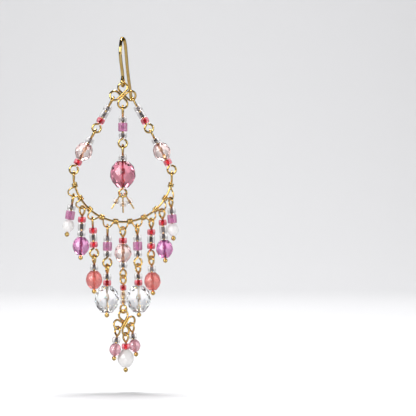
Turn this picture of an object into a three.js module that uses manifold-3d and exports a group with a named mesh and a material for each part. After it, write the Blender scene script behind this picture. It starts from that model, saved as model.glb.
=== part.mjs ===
// Chandelier earring. A fishhook ear wire carries a wire clover, and from the clover hang two beaded
// side chains, a pendant and, between the chains, a crescent frame with nine beaded drops.
// Millimetres, +Z up. The front looks along -Y. The origin is the underside of the ear wire's bend,
// where it sits in the ear.
import * as THREE from 'three';
import { mergeVertices } from 'three/addons/utils/BufferGeometryUtils.js';
import Module from 'manifold-3d';

const wasm = await Module();
wasm.setup();

// Clearances
const WIRE_GAP = 0.13; // between two wires that hang in each other
const BEAD_GAP = 0.1; // between a loose bead and what it lies against
const SEED_GAP = 0.05; // between two beads that sit fast on one wire
const BORE_GAP = 0.13; // round the wire in a drilled bead
const END_GAP = 0.08; // between a loop's cut end and its stem
const CROSS_GAP = 0.06; // between the wires that cross in a clover
const WRAP_GAP = 0.09; // between the frame's wire and the coils round it

// Diameters of the wires
const HOOK_WIRE = 0.75;
const LINK_WIRE = 0.5;
const FRAME_WIRE = 0.5;
const WRAP_WIRE = 0.38;
const TINY_WIRE = 0.34;

// Ear wire: the ring at its foot, and its outline in its own plane. Each row gives a point of the
// wire's middle line: how far behind the ring it is and how far below the bend's top, as shares of
// the hook's depth and height.
const HOOK_RING = { radius: 0.875, rise: 1.12 };
const HOOK_RING_DROP = 10.06;
const HOOK_DEPTH = 9.4;
const HOOK_HEIGHT = 14.2;
const HOOK_TURN = 10;
const HOOK_OUTLINE = [
  { back: -0.1, down: 0.52 },
  { back: -0.235, down: 0.37 },
  { back: -0.285, down: 0.25 },
  { back: -0.245, down: 0.11 },
  { back: -0.14, down: 0.025 },
  { back: 0, down: 0 },
  { back: 0.16, down: 0.018 },
  { back: 0.3, down: 0.1 },
  { back: 0.39, down: 0.24 },
  { back: 0.52, down: 0.46 },
  { back: 0.68, down: 0.66 },
  { back: 0.9, down: 0.88 },
  { back: 1, down: 1 },
];

// Clover: four round lobes from one wire, whose straights cross in the middle
const LOBE_RADIUS = 1.1;
const LOBE_CROSSING = 0.28; // from the clover's middle to each straight

// Wire loops: the radius of the wire's middle line, and how far the loop's middle stands from its neck
const LOOPS = {
  round: { radius: 1.0, rise: 1.1 },
  long: { radius: 1.0, rise: 1.36 },
  small: { radius: 0.92, rise: 0.98 },
  tiny: { radius: 0.55, rise: 1.0 },
};

// Beads. A seed sits fast on its wire, the others lie loose on it and are drilled. The rim is the
// radius at a seed's ends, as a share of its widest radius.
const BEADS = {
  clear: { kind: 'seed', across: 1.95, long: 1.4, rim: 0.78 },
  red: { kind: 'seed', across: 1.95, long: 1.4, rim: 0.78 },
  bugle: { kind: 'seed', across: 1.8, long: 1.85, rim: 0.93 },
  slim_bugle: { kind: 'seed', across: 1.45, long: 1.85, rim: 0.93 },
  slim: { kind: 'seed', across: 1.5, long: 1.25, rim: 0.78 },
  mauve: { kind: 'tube', across: 2.2, long: 2.1, colour: 0xc58bbd },
  pink: { kind: 'cut', across: 4.1, long: 4.25, colour: 0xe9c9c4 },
  purple: { kind: 'cut', across: 4.05, long: 4.25, colour: 0xc48ad0 },
  coral: { kind: 'cut', across: 3.95, long: 4.25, colour: 0xe88580 },
  crystal: { kind: 'cut', across: 5.8, long: 6.2, colour: 0xeaeaec },
  rose: { kind: 'cut', across: 6.1, long: 6.3, colour: 0xc9708f },
  white: { kind: 'cut', across: 3.95, long: 4.15, colour: 0xe4dfdc },
  white_small: { kind: 'cut', across: 2.8, long: 2.85, colour: 0xe4dfdc },
  lavender: { kind: 'cut', across: 2.8, long: 2.9, colour: 0xe3bfcf },
};
const LOOP_BEND = 0.4; // how far a stem's bend into its loop reaches, as a share of the wire
const BALL = 1.1; // diameter of the ball at a pin's foot
const TINY_TAIL = 1.4; // length of bare wire under a tiny pin's seed

// Crescent frame: radius of the wire's middle line, and where its end eyes start, from its bottom
const FRAME_RADIUS = 11.85;
const FRAME_NECK = 79.5;

// Wire wrapped round the frame: ten coils evenly spaced between two end coils
const COIL_END = 75;
const COIL_TURNS = 2.5;
const COIL_PITCH = 0.42;

// Link beads, from the top down
const SIDE_UPPER = ['clear', 'bugle', 'red'];
const SIDE_LOWER = ['clear', 'pink', 'red'];
const PENDANT_UPPER = ['clear', 'mauve', 'clear'];
const PENDANT_LOWER = ['clear', 'rose'];

// Kinds of drop: the beads on its link, if it has one, and on its pin or its second link
const DROP_KINDS = {
  white: { pin: ['clear', 'mauve', 'white_small'] },
  purple: { pin: ['red', 'bugle', 'clear', 'purple'] },
  coral: { link: ['red', 'bugle', 'red'], pin: ['clear', 'coral'] },
  crystal: { link: ['clear', 'mauve', 'clear'], pin: ['clear', 'red', 'crystal'] },
};

// Nine drops from left to right, one on each loop of the wrapped wire. reach and out give the loop's
// depth and the angle it points to from straight down, and the drop hangs in the lowest place of its
// loop. lean and tip are the angles of the drop's upper and lower stretch. turn, join and end
// turn its loops about its stem: 0 shows a loop edge-on from the front, 90 shows it round.
const DROPS = [
  { name: 'white_left', kind: 'white', reach: 2.15, out: -80, lean: -9.5, turn: -10 },
  { name: 'purple_left', kind: 'purple', reach: 2.0, out: -75, lean: -2, turn: -40 },
  {
    name: 'coral_left', kind: 'coral', reach: 1.9, out: -50,
    lean: 2.8, tip: 0, turn: -5, join: 78, end: -20,
  },
  {
    name: 'crystal_left', kind: 'crystal', reach: 1.88, out: -15,
    lean: -0.5, tip: -0.5, turn: 0, join: 80, end: -18,
  },
  {
    name: 'centre', reach: 1.86, out: 0,
    lean: 0.5, tip: 0.2, turn: -40, join: 40, end: -42,
  },
  {
    name: 'crystal_right', kind: 'crystal', reach: 1.75, out: 9,
    lean: 1.5, tip: 1, turn: -20, join: 58, end: -35,
  },
  {
    name: 'coral_right', kind: 'coral', reach: 1.8, out: 26,
    lean: -0.5, tip: 3, turn: -30, join: 45, end: -35,
  },
  { name: 'purple_right', kind: 'purple', reach: 1.7, out: 30, lean: 4, turn: -40 },
  { name: 'white_right', kind: 'white', reach: 1.9, out: 35, lean: 4, turn: -25 },
];
const CENTRE_UPPER = ['red', 'pink', 'clear'];
const CENTRE_LOWER = ['slim', 'slim_bugle', 'slim'];

// Lower clover: turned about the vertical and rolled in its own plane, with three pins. The outer
// two hang a little outwards on their lobes.
const LOWER_TURN = 38;
const LOWER_ROLL = 10;
const LOWER_SPREAD = 12;
const LOWER_PINS = [
  { lobe: 'left', beads: ['clear', 'lavender'], slope: -7 },
  { lobe: 'bottom', beads: ['red', 'white'], slope: 0 },
  { lobe: 'right', beads: ['clear', 'lavender'], slope: 9.5 },
];

// Tiny pins under the pendant: where each hangs round the loop, and how it leans
const TINY_PINS = [
  { name: 'tiny_left', contact: -80, lean: -32 },
  { name: 'tiny_centre', contact: 0, lean: 1 },
  { name: 'tiny_right', contact: 80, lean: 32 },
];

// Facets: sides of each wire's section and of a bead, and the arc that one step of a loop takes
const HOOK_SIDES = 8;
const WIRE_SIDES = 5;
const BEAD_SIDES = 10;
const BALL_SIDES = 8;
const LOOP_STEP = 38;
const COIL_STEPS_PER_TURN = 8;
const OPEN_LOOP_STEPS = 6;
const LOWEST_STEPS = 60; // stations between the two coils where an open loop's lowest place is looked for
const LOWEST_MARGIN = 0.2; // share of an open loop, at each end, that is too near the coils for a drop
const FRAME_STEPS = 24;
const HOOK_STEPS = 20;

const GOLD = { color: 0xc9a04a, roughness: 0.28, metalness: 1 };
const GLASS_ROUGHNESS = 0.12;

const { degToRad, radToDeg } = THREE.MathUtils;
const UP = new THREE.Vector3(0, 0, 1);
const earring = new THREE.Group();

// Plain geometry helpers

// A direction in the picture's plane, measured from straight down towards +X
function hanging(angle) {
  return new THREE.Vector3(Math.sin(degToRad(angle)), 0, -Math.cos(degToRad(angle)));
}

// A point of the picture's plane on a circle round the origin, measured from +X towards +Z
function onCircle(radius, angle) {
  return new THREE.Vector3(radius * Math.cos(degToRad(angle)), 0, radius * Math.sin(degToRad(angle)));
}

// A curve through given stations, whose steps are the stations themselves
class Route extends THREE.Curve {
  constructor(stations) {
    super();
    this.stations = stations;
  }

  getPoint(t, target = new THREE.Vector3()) {
    const last = this.stations.length - 1;
    const index = Math.min(Math.floor(THREE.MathUtils.clamp(t, 0, 1) * last), last - 1);
    return target.lerpVectors(this.stations[index], this.stations[index + 1], t * last - index);
  }

  getUtoTmapping(u) {
    return u;
  }
}

// A geometry with only its corners, each held once
function bare(geometry) {
  geometry.deleteAttribute('normal');
  geometry.deleteAttribute('uv');
  return mergeVertices(geometry, 1e-5);
}

function wireAlong(stations, diameter, sides = WIRE_SIDES) {
  const corners = Array.from({ length: sides }, (_, i) => {
    const angle = (2 * Math.PI * i) / sides;
    return new THREE.Vector2(Math.cos(angle), Math.sin(angle)).multiplyScalar(diameter / 2);
  });
  const swept = new THREE.ExtrudeGeometry(new THREE.Shape(corners), {
    steps: stations.length - 1,
    extrudePath: new Route(stations),
    bevelEnabled: false,
  });
  return bare(swept);
}

// A turned solid about Z from rows of radius and height
function turned(rows, sides) {
  const profile = rows.map(([radius, height]) => new THREE.Vector2(radius, height));
  const lathe = new THREE.LatheGeometry(profile, sides);
  lathe.rotateX(Math.PI / 2);
  return lathe;
}

function toSolid(geometry) {
  const { position } = geometry.attributes;
  const mesh = new wasm.Mesh({
    numProp: 3,
    vertProperties: new Float32Array(position.array),
    triVerts: new Uint32Array(geometry.index.array),
  });
  return new wasm.Manifold(mesh);
}

function fromSolid(solid) {
  const { vertProperties, triVerts } = solid.getMesh();
  const geometry = new THREE.BufferGeometry();
  geometry.setAttribute('position', new THREE.BufferAttribute(vertProperties, 3));
  geometry.setIndex(new THREE.BufferAttribute(triVerts, 1));
  return geometry;
}

function joined(geometries) {
  const solids = geometries.map(toSolid);
  return fromSolid(solids.reduce((whole, solid) => whole.add(solid)));
}

// Adds one named piece to the scene
function addPiece(name, geometry, finish, parent = earring) {
  geometry.computeVertexNormals();
  const piece = new THREE.Mesh(geometry, new THREE.MeshStandardMaterial(finish));
  piece.name = name;
  parent.add(piece);
  return piece;
}

// Beads

// Seed beads that sit side by side on one wire, as one turned solid. Each row is a bead and the
// height of its middle, from the top down.
function seedRun(run) {
  const rows = run.flatMap(({ bead, height }) => {
    const { across, long, rim } = BEADS[bead];
    const radius = across / 2;
    return [[radius * rim, height + long / 2], [radius, height], [radius * rim, height - long / 2]];
  });
  const top = rows[0][1];
  const foot = rows[rows.length - 1][1];
  return bare(turned([[0, top], ...rows, [0, foot]].reverse(), BEAD_SIDES));
}

function tubeBead({ across, long }, bore) {
  const radius = across / 2;
  const half = long / 2;
  const rows = [[bore, -half], [radius, -half], [radius, half], [bore, half], [bore, -half]];
  return bare(turned(rows, BEAD_SIDES));
}

// A cut bead has rings of corners round its bore. From ring to ring the corners turn by half a side,
// so the facets between two rings are triangles, and each end is a flat table. Each row gives a
// ring's radius and height as shares of the bead's, and the half sides that it is turned by.
const CUT_RINGS = [
  { radius: 0.45, height: -1, turns: 0 },
  { radius: 0.84, height: -0.6, turns: 1 },
  { radius: 1, height: -0.18, turns: 2 },
  { radius: 1, height: 0.18, turns: 3 },
  { radius: 0.84, height: 0.6, turns: 4 },
  { radius: 0.45, height: 1, turns: 5 },
];

function cutBead({ across, long }, bore) {
  const rings = CUT_RINGS.map(({ radius, height, turns }) => {
    return { radius: (radius * across) / 2, height: (height * long) / 2, turns };
  });
  const first = rings[0];
  const last = rings[rings.length - 1];
  const rows = [
    { ...first, radius: bore },
    ...rings,
    { ...last, radius: bore },
    { ...first, radius: bore, turns: last.turns + 1 },
  ];
  const lathe = turned(rows.map(({ radius, height }) => [radius, height]), BEAD_SIDES);
  const { position } = lathe.attributes;
  const corner = new THREE.Vector3();
  const axis = new THREE.Vector3(0, 0, -1);
  for (let i = 0; i < position.count; i++) {
    const { turns } = rows[i % rows.length];
    corner.fromBufferAttribute(position, i).applyAxisAngle(axis, (-turns * Math.PI) / BEAD_SIDES);
    position.setXYZ(i, corner.x, corner.y, corner.z);
  }
  return bare(lathe);
}

// Splits a strand's seed beads into runs, which loose beads stand between
function seedRuns(beads, heights) {
  const runs = [[]];
  beads.forEach((bead, i) => {
    if (isLoose(bead)) {
      runs.push([]);
    } else {
      runs[runs.length - 1].push({ bead, height: heights[i] });
    }
  });
  return runs.filter((run) => run.length > 0);
}

const LOOSE_SHAPES = { tube: tubeBead, cut: cutBead };

function isLoose(bead) {
  return BEADS[bead].kind !== 'seed';
}

// Wire loops

// Half the angle between the two straights that run from a loop's neck to its round, and the length
// of those straights
function loopShape({ radius, rise }) {
  return { half: Math.asin(radius / rise), straight: Math.sqrt(rise * rise - radius * radius) };
}

// How far the wire's own thickness stands above a loop's neck, where the stem bends into the loop
function shoulder(style, wire) {
  return (wire / 2) * Math.sin(loopShape(style).half);
}

// A loop's middle line from its neck, as points (side, out): along the stem, up one straight, round,
// and back until the cut end is an end gap short of the stem
function loopLine(style, wire) {
  const { radius, rise } = style;
  const { half, straight } = loopShape(style);
  const bend = Math.min(wire * LOOP_BEND, straight / 2);
  const opening = Math.sin(2 * half);
  const away = ((wire / 2) * (1 + Math.abs(Math.cos(2 * half))) + END_GAP) / opening;
  const cut = Math.max(0, away - straight) / radius;
  const from = -half - Math.PI / 2;
  const to = half + Math.PI / 2 - cut;
  const steps = Math.round(radToDeg(to - from) / LOOP_STEP);
  const line = [
    new THREE.Vector2(0, -bend),
    new THREE.Vector2(-Math.sin(half), Math.cos(half)).multiplyScalar(bend),
  ];
  for (let i = 0; i <= steps; i++) {
    const angle = from + ((to - from) * i) / steps;
    line.push(new THREE.Vector2(radius * Math.sin(angle), rise + radius * Math.cos(angle)));
  }
  if (away < straight) {
    line.push(new THREE.Vector2(Math.sin(half), Math.cos(half)).multiplyScalar(away));
  }
  return line;
}

// The same line in space: the loop stands on its neck, turned about Z, up or down
function loopStations(style, wire, neck, turn, upward) {
  const side = new THREE.Vector3(Math.sin(degToRad(turn)), Math.cos(degToRad(turn)), 0);
  return loopLine(style, wire).map(({ x, y }) => {
    return side.clone().multiplyScalar(x).setZ(neck + (upward ? y : -y));
  });
}

// Links and pins

// Heights of a strand's beads and of its foot, in its own frame: the top loop's middle is at the
// origin and the stem runs down. The foot is the bottom loop's neck, or the top of a pin's ball.
function layout(beads, top, bottom, wire) {
  let height = -LOOPS[top].rise - shoulder(LOOPS[top], wire);
  let loose = false;
  const heights = beads.map((bead, i) => {
    const open = isLoose(bead) || loose;
    height -= open ? BEAD_GAP : Math.min(i, 1) * SEED_GAP;
    const middle = height - BEADS[bead].long / 2;
    height -= BEADS[bead].long;
    loose = isLoose(bead);
    return middle;
  });
  height -= loose ? BEAD_GAP : 0;
  const foot = bottom ? height - shoulder(LOOPS[bottom], wire) : height;
  return { heights, foot };
}

// Distance from a link's upper loop's middle to its lower one's
function linkLength(beads, top, bottom) {
  const { foot } = layout(beads, top, bottom, LINK_WIRE);
  return LOOPS[bottom].rise - foot;
}

// A link or pin that hangs in a support, which is a round of wire with a middle, a radius and the
// wire's diameter. contact is where it hangs round the support, and lean how its stem runs, both
// measured from straight down. Returns the support that its own lower loop makes.
function hang(name, strand, support, lean, contact = lean) {
  const { beads, top, bottom, turn, join = 0, wire = LINK_WIRE, tail = 0 } = strand;
  const { heights, foot } = layout(beads, top, bottom, wire);
  const grip = (support.wire + wire) / 2 + WIRE_GAP;
  const middle = support.middle.clone();
  const down = hanging(contact).applyAxisAngle(UP, degToRad(support.turn ?? 0));
  middle.addScaledVector(down, support.radius - grip);
  middle.addScaledVector(hanging(lean), LOOPS[top].radius);

  const group = new THREE.Group();
  group.position.copy(middle);
  group.rotation.y = -degToRad(lean);
  earring.add(group);

  const stations = loopStations(LOOPS[top], wire, -LOOPS[top].rise, turn, true).reverse();
  const parts = [];
  if (bottom) {
    stations.push(...loopStations(LOOPS[bottom], wire, foot, join, false));
  } else if (tail > 0) {
    stations.push(new THREE.Vector3(0, 0, foot - tail));
  } else {
    stations.push(new THREE.Vector3(0, 0, foot - BALL / 2));
    const ball = bare(new THREE.SphereGeometry(BALL / 2, BALL_SIDES, BALL_SIDES / 2));
    parts.push(ball.rotateX(Math.PI / 2).translate(0, 0, foot - BALL / 2));
  }
  parts.push(wireAlong(stations, wire));
  parts.push(...seedRuns(beads, heights).map(seedRun));
  addPiece(name, joined(parts), GOLD, group);

  const bore = wire / 2 + BORE_GAP;
  beads.forEach((bead, i) => {
    if (isLoose(bead)) {
      const { kind, colour } = BEADS[bead];
      const shape = LOOSE_SHAPES[kind](BEADS[bead], bore);
      const finish = { color: colour, roughness: GLASS_ROUGHNESS, metalness: 0 };
      const suffix = kind === 'tube' ? 'tube' : 'bead';
      const piece = addPiece(`${name.replace(/_(link|pin)$/, '')}_${suffix}`, shape, finish, group);
      piece.position.z = heights[i];
    }
  });

  if (!bottom) {
    return null;
  }
  group.updateMatrixWorld(true);
  const own = group.localToWorld(new THREE.Vector3(0, 0, foot - LOOPS[bottom].rise));
  return { middle: own, radius: LOOPS[bottom].radius, wire };
}

// Ear wire

function addHook() {
  const apex = HOOK_WIRE / 2;
  const neck = HOOK_RING.rise - HOOK_RING_DROP;
  const ring = loopLine(HOOK_RING, HOOK_WIRE).map(({ x, y }) => new THREE.Vector3(0, x, neck - y));
  const outline = new THREE.CatmullRomCurve3([
    ring[0],
    ...HOOK_OUTLINE.map(({ back, down }) => {
      return new THREE.Vector3(0, back * HOOK_DEPTH, apex - down * HOOK_HEIGHT);
    }),
  ], false, 'centripetal');
  const leg = outline.getSpacedPoints(HOOK_STEPS);
  const geometry = wireAlong([...ring.reverse(), ...leg.slice(1)], HOOK_WIRE, HOOK_SIDES);
  addPiece('ear_hook', geometry, GOLD).rotation.z = -degToRad(HOOK_TURN);
  return {
    middle: new THREE.Vector3(0, 0, -HOOK_RING_DROP),
    radius: HOOK_RING.radius,
    wire: HOOK_WIRE,
  };
}

// Clovers

// From the clover's middle to each lobe's, so that the straights touch the rounds of two lobes
const LOBE_OFFSET = (LOBE_RADIUS + LOBE_CROSSING) * Math.SQRT2;
const LOBE_STEPS = Math.round(270 / LOOP_STEP);

// The lobes in the order in which the wire goes round them, and where each one points
const LOBES = { left: 180, top: 90, right: 0, bottom: -90 };

// The wire's depth at a point of a lobe, given by its direction from the lobe's middle. The straights
// lie in front and behind by turns, and each lobe leads from one to the other.
function wireDepth(facing, direction) {
  const depth = ((LINK_WIRE + CROSS_GAP) / 2) * Math.cos(degToRad((direction - facing + 135) * (2 / 3)));
  return facing % 180 === 0 ? depth : -depth;
}

// The wire's two ends meet in the middle of the last straight
function cloverLine() {
  const stations = Object.values(LOBES).flatMap((facing) => {
    return Array.from({ length: LOBE_STEPS + 1 }, (_, i) => {
      const direction = facing - 135 + (270 * i) / LOBE_STEPS;
      const station = onCircle(LOBE_RADIUS, direction).add(onCircle(LOBE_OFFSET, facing));
      return station.setY(wireDepth(facing, direction));
    });
  });
  const first = stations[0];
  const last = stations[stations.length - 1];
  const meeting = first.clone().add(last).multiplyScalar(0.5);
  const along = first.clone().sub(last).setLength(END_GAP / 2);
  return [meeting.clone().add(along), ...stations, meeting.clone().sub(along)];
}

// Hangs a clover in a support by its top lobe. contacts says where something hangs round each of the
// other lobes, from straight down. Returns those lobes as supports.
function addClover(name, support, contacts, turn = 0, roll = 0) {
  const grip = (support.wire + LINK_WIRE) / 2 + WIRE_GAP;
  const plane = new THREE.Group();
  plane.position.copy(support.middle);
  plane.position.z -= support.radius - grip + LOBE_RADIUS;
  plane.rotation.z = degToRad(turn);
  earring.add(plane);
  const clover = addPiece(name, wireAlong(cloverLine(), LINK_WIRE), GOLD, plane);
  clover.position.copy(onCircle(LOBE_OFFSET, roll - 90));
  clover.rotation.y = -degToRad(roll);
  plane.updateMatrixWorld(true);
  const lobes = Object.entries(contacts).map(([side, contact]) => {
    const facing = LOBES[side];
    const middle = onCircle(LOBE_OFFSET, facing);
    const down = facing > 90 ? 270 : -90;
    middle.setY(wireDepth(facing, down + contact - roll));
    return [side, { middle: clover.localToWorld(middle), radius: LOBE_RADIUS, wire: LINK_WIRE, turn }];
  });
  return Object.fromEntries(lobes);
}

// Where the side chains hang on the clover's lobes, from straight down
const CHAIN_SPREAD = 27;

// Side chains: both links of a chain run straight from the clover's lobe to the frame's end eye. The
// chain's slope follows from the frame's width.
const EYE_SPAN = FRAME_RADIUS * Math.sin(degToRad(FRAME_NECK));

function addSideChain(side, lobe) {
  const sign = side === 'left' ? -1 : 1;
  const grip = LINK_WIRE + WIRE_GAP;
  const upper = { beads: SIDE_UPPER, top: 'round', bottom: 'round', turn: 0, join: 90 };
  const lower = { beads: SIDE_LOWER, top: 'round', bottom: 'round', turn: 0, join: 90 };
  const run = LOBE_RADIUS - grip + 3 * LOOPS.round.radius - grip
    + linkLength(SIDE_UPPER, 'round', 'round') + linkLength(SIDE_LOWER, 'round', 'round');
  const slope = radToDeg(Math.asin((EYE_SPAN - Math.abs(lobe.middle.x)) / run));
  const middle = hang(`side_upper_${side}_link`, upper, lobe, sign * slope);
  return hang(`side_lower_${side}_link`, lower, middle, sign * slope);
}

// Frame

// Returns the group that holds the frame, whose origin is the middle of the arc
function addFrame(left, right) {
  const eye = LOOPS.long;
  const grip = (LINK_WIRE + FRAME_WIRE) / 2 + WIRE_GAP;
  const neck = -FRAME_RADIUS * Math.cos(degToRad(FRAME_NECK));
  const crescent = new THREE.Group();
  crescent.position.z = left.middle.z - (left.radius - grip) - eye.radius - eye.rise - neck;
  crescent.rotation.z = Math.atan2(right.middle.y - left.middle.y, right.middle.x - left.middle.x);
  earring.add(crescent);
  const loop = loopStations(eye, FRAME_WIRE, neck, 0, true).slice(1);
  const place = (x) => loop.map((station) => station.clone().setX(station.x + x));
  const arc = Array.from({ length: FRAME_STEPS + 1 }, (_, i) => {
    return hanging(FRAME_NECK * ((2 * i) / FRAME_STEPS - 1)).multiplyScalar(FRAME_RADIUS);
  });
  const stations = [...place(-EYE_SPAN).reverse(), ...arc, ...place(EYE_SPAN)];
  addPiece('frame_wire', wireAlong(stations, FRAME_WIRE), GOLD, crescent);
  crescent.updateMatrixWorld(true);
  return crescent;
}

// Wrapped wire. A coil's ends leave the frame at its back and its front, where the wire runs straight
// out, so it passes into the open loop beside it without a kink.
const COIL_RADIUS = (FRAME_WIRE + WRAP_WIRE) / 2 + WRAP_GAP;
const COIL_STEP = (2 * COIL_END) / DROPS.length;
const COIL_HALF = radToDeg((COIL_TURNS * COIL_PITCH) / 2 / FRAME_RADIUS);

function coilStations(angle) {
  const steps = Math.round(COIL_TURNS * COIL_STEPS_PER_TURN);
  return Array.from({ length: steps + 1 }, (_, i) => {
    const share = i / steps;
    const round = Math.PI / 2 + 2 * Math.PI * COIL_TURNS * share;
    const at = hanging(angle + COIL_HALF * (2 * share - 1));
    const out = FRAME_RADIUS + COIL_RADIUS * Math.cos(round);
    return at.multiplyScalar(out).setY(COIL_RADIUS * Math.sin(round));
  });
}

// A point of the open loop between two coils: a curve with both ends pointing the loop's way
function openLoopPoint(from, to, { reach, out }, share) {
  const start = hanging(from).multiplyScalar(FRAME_RADIUS);
  const finish = hanging(to).multiplyScalar(FRAME_RADIUS);
  const pull = hanging(out).multiplyScalar(reach / 0.75);
  const curve = new THREE.CubicBezierCurve3(
    start, start.clone().add(pull), finish.clone().add(pull), finish,
  );
  return curve.getPoint(share).setY(-COIL_RADIUS * Math.cos(Math.PI * share));
}

// The lowest place of an open loop that is clear of the coils
function lowest(from, to, drop) {
  const shares = Array.from({ length: LOWEST_STEPS + 1 }, (_, i) => {
    return THREE.MathUtils.lerp(LOWEST_MARGIN, 1 - LOWEST_MARGIN, i / LOWEST_STEPS);
  });
  const points = shares.map((share) => openLoopPoint(from, to, drop, share));
  return points.reduce((low, point) => (point.z < low.z ? point : low));
}

function addWrap(crescent) {
  const stations = [];
  const supports = [];
  DROPS.forEach((drop, i) => {
    const coil = COIL_STEP * i - COIL_END;
    const from = coil + COIL_HALF;
    const to = coil + COIL_STEP - COIL_HALF;
    stations.push(...coilStations(coil));
    for (let k = 1; k < OPEN_LOOP_STEPS; k++) {
      stations.push(openLoopPoint(from, to, drop, k / OPEN_LOOP_STEPS));
    }
    const middle = crescent.localToWorld(lowest(from, to, drop));
    supports.push({ middle, radius: 0, wire: WRAP_WIRE });
  });
  stations.push(...coilStations(COIL_END));
  addPiece('wrap_wire', wireAlong(stations, WRAP_WIRE), GOLD, crescent);
  return supports;
}

// Drops

function addDrop({ name, kind, lean, tip, turn, join, end }, support) {
  const { link, pin } = DROP_KINDS[kind];
  if (!link) {
    hang(`${name}_pin`, { beads: pin, top: 'long', turn }, support, lean);
    return;
  }
  const upper = { beads: link, top: 'long', bottom: 'round', turn, join };
  const between = hang(`${name}_link`, upper, support, lean);
  hang(`${name}_pin`, { beads: pin, top: 'round', turn: end }, between, tip);
}

function addCentreDrop({ name, lean, tip, turn, join, end }, support) {
  const upper = { beads: CENTRE_UPPER, top: 'long', bottom: 'round', turn, join };
  const lower = { beads: CENTRE_LOWER, top: 'round', bottom: 'small', turn: end, join: LOWER_TURN - 90 };
  const between = hang(`${name}_upper_link`, upper, support, lean);
  const foot = hang(`${name}_lower_link`, lower, between, tip);
  const contacts = { left: -LOWER_SPREAD, bottom: 0, right: LOWER_SPREAD };
  const lobes = addClover('clover_lower', foot, contacts, LOWER_TURN, LOWER_ROLL);
  LOWER_PINS.forEach(({ lobe, beads, slope }) => {
    const pin = { beads, top: 'long', turn: -LOWER_TURN };
    hang(`lower_${lobe}_pin`, pin, lobes[lobe], slope, contacts[lobe]);
  });
}

function addPendant(lobe) {
  const upper = { beads: PENDANT_UPPER, top: 'long', bottom: 'round', turn: 0, join: 90 };
  const lower = { beads: PENDANT_LOWER, top: 'round', bottom: 'small', turn: 0, join: 90 };
  const between = hang('pendant_upper_link', upper, lobe, 0);
  const foot = hang('pendant_lower_link', lower, between, 0);
  TINY_PINS.forEach(({ name, contact, lean }) => {
    const pin = { beads: ['slim'], top: 'tiny', turn: 0, wire: TINY_WIRE, tail: TINY_TAIL };
    hang(`${name}_pin`, pin, foot, lean, contact);
  });
}

const ring = addHook();
const clover = addClover('clover_top', ring, { left: -CHAIN_SPREAD, bottom: 0, right: CHAIN_SPREAD });
const leftEnd = addSideChain('left', clover.left);
const rightEnd = addSideChain('right', clover.right);
addPendant(clover.bottom);
const loops = addWrap(addFrame(leftEnd, rightEnd));
DROPS.forEach((drop, i) => {
  if (drop.kind) {
    addDrop(drop, loops[i]);
  } else {
    addCentreDrop(drop, loops[i]);
  }
});

export default earring;
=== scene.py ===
"""Chandelier earring: gold-coloured wire, cut glass beads and seed beads, hung by its ear wire.

Sizes are in millimetres and angles in degrees, with +Z up and the front facing -Y. The origin is the
underside of the ear wire's bend.
"""

import logging
import math
from dataclasses import dataclass
from enum import Enum

import bpy
import numpy as np
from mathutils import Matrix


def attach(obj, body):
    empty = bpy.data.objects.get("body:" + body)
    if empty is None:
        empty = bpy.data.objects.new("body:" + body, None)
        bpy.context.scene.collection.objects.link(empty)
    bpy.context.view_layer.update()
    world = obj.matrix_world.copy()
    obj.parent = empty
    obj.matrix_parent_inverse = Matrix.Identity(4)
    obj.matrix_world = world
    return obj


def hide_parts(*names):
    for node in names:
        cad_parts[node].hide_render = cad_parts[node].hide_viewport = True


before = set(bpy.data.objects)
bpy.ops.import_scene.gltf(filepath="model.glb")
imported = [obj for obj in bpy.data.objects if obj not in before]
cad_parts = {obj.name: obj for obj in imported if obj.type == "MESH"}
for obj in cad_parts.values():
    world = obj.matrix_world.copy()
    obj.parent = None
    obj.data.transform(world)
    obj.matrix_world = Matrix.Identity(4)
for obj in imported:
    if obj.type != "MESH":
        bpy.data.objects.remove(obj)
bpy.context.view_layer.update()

log = logging.getLogger("earring")

Colour = tuple[float, float, float]

MM = 0.001

# The photograph's side and the origin in it in pixels, its scale, and how far back the camera is
PHOTO_SIDE = 416
PHOTO_ORIGIN = (122.8, 40.0)
PX_PER_MM = 4.2
CAMERA_BACK = 420.0

# Gaps: where a wire hangs in a wire, round a loose bead, between seed beads, in a bore, at a loop's
# end, where a clover crosses itself, and between the crescent and the wire wrapped round it
WIRE_GAP = 0.13
BEAD_GAP = 0.1
SEED_GAP = 0.05
BORE_GAP = 0.03
END_GAP = 0.08
CROSS_GAP = 0.06
WRAP_GAP = 0.09

# Diameters of the wires
HOOK_WIRE = 0.75
LINK_WIRE = 0.5
FRAME_WIRE = 0.5
WRAP_WIRE = 0.38
TINY_WIRE = 0.34

# A wire's domed end: its height as a share of the radius, and the angles of its rings
DOME = 0.55
DOME_ANGLES = (67.5, 45.0, 22.5)

# A pin's ball: its diameter, the share of a half circle, its rings, and the stations that it covers
BALL = 1.1
BALL_SHARE = 0.93
BALL_RINGS = 16
BALL_COVERS = 3

# A wire loop: stations in its round, and the bend at its neck as a share of the wire
LOOP_STEPS = 60
LOOP_BEND = 0.4

# A lobe of a clover: half of the angle that its round takes, and the stations in it
LOBE_HALF = 135
LOBE_STEPS = 60
LOBES = {"left": 180, "top": 90, "right": 0, "bottom": -90}

# A turned bead: corners round its section and round the bead, and the faces that line its bore
SECTION_SIDES = 28
TURNED_SIDES = 32
LINED_ROWS = 4

# A cut bead: its sides, the bevel of its edges, and its rings, whose radius and height are shares of
# the bead's, from one table to the other
CUT_SIDES = 10
BEVEL = 0.03
BEVEL_STEPS = 2
BEVEL_ANGLE = 8
CUT_RINGS = np.array([[0.45, -1.0], [0.84, -0.6], [1.0, -0.18], [1.0, 0.18], [0.84, 0.6], [0.45, 1.0]])


def hanging(angle: float) -> np.ndarray:
    """A direction in the picture's plane, in degrees from straight down towards +X."""
    turn = math.radians(angle)
    return np.array([math.sin(turn), 0.0, -math.cos(turn)])


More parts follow.
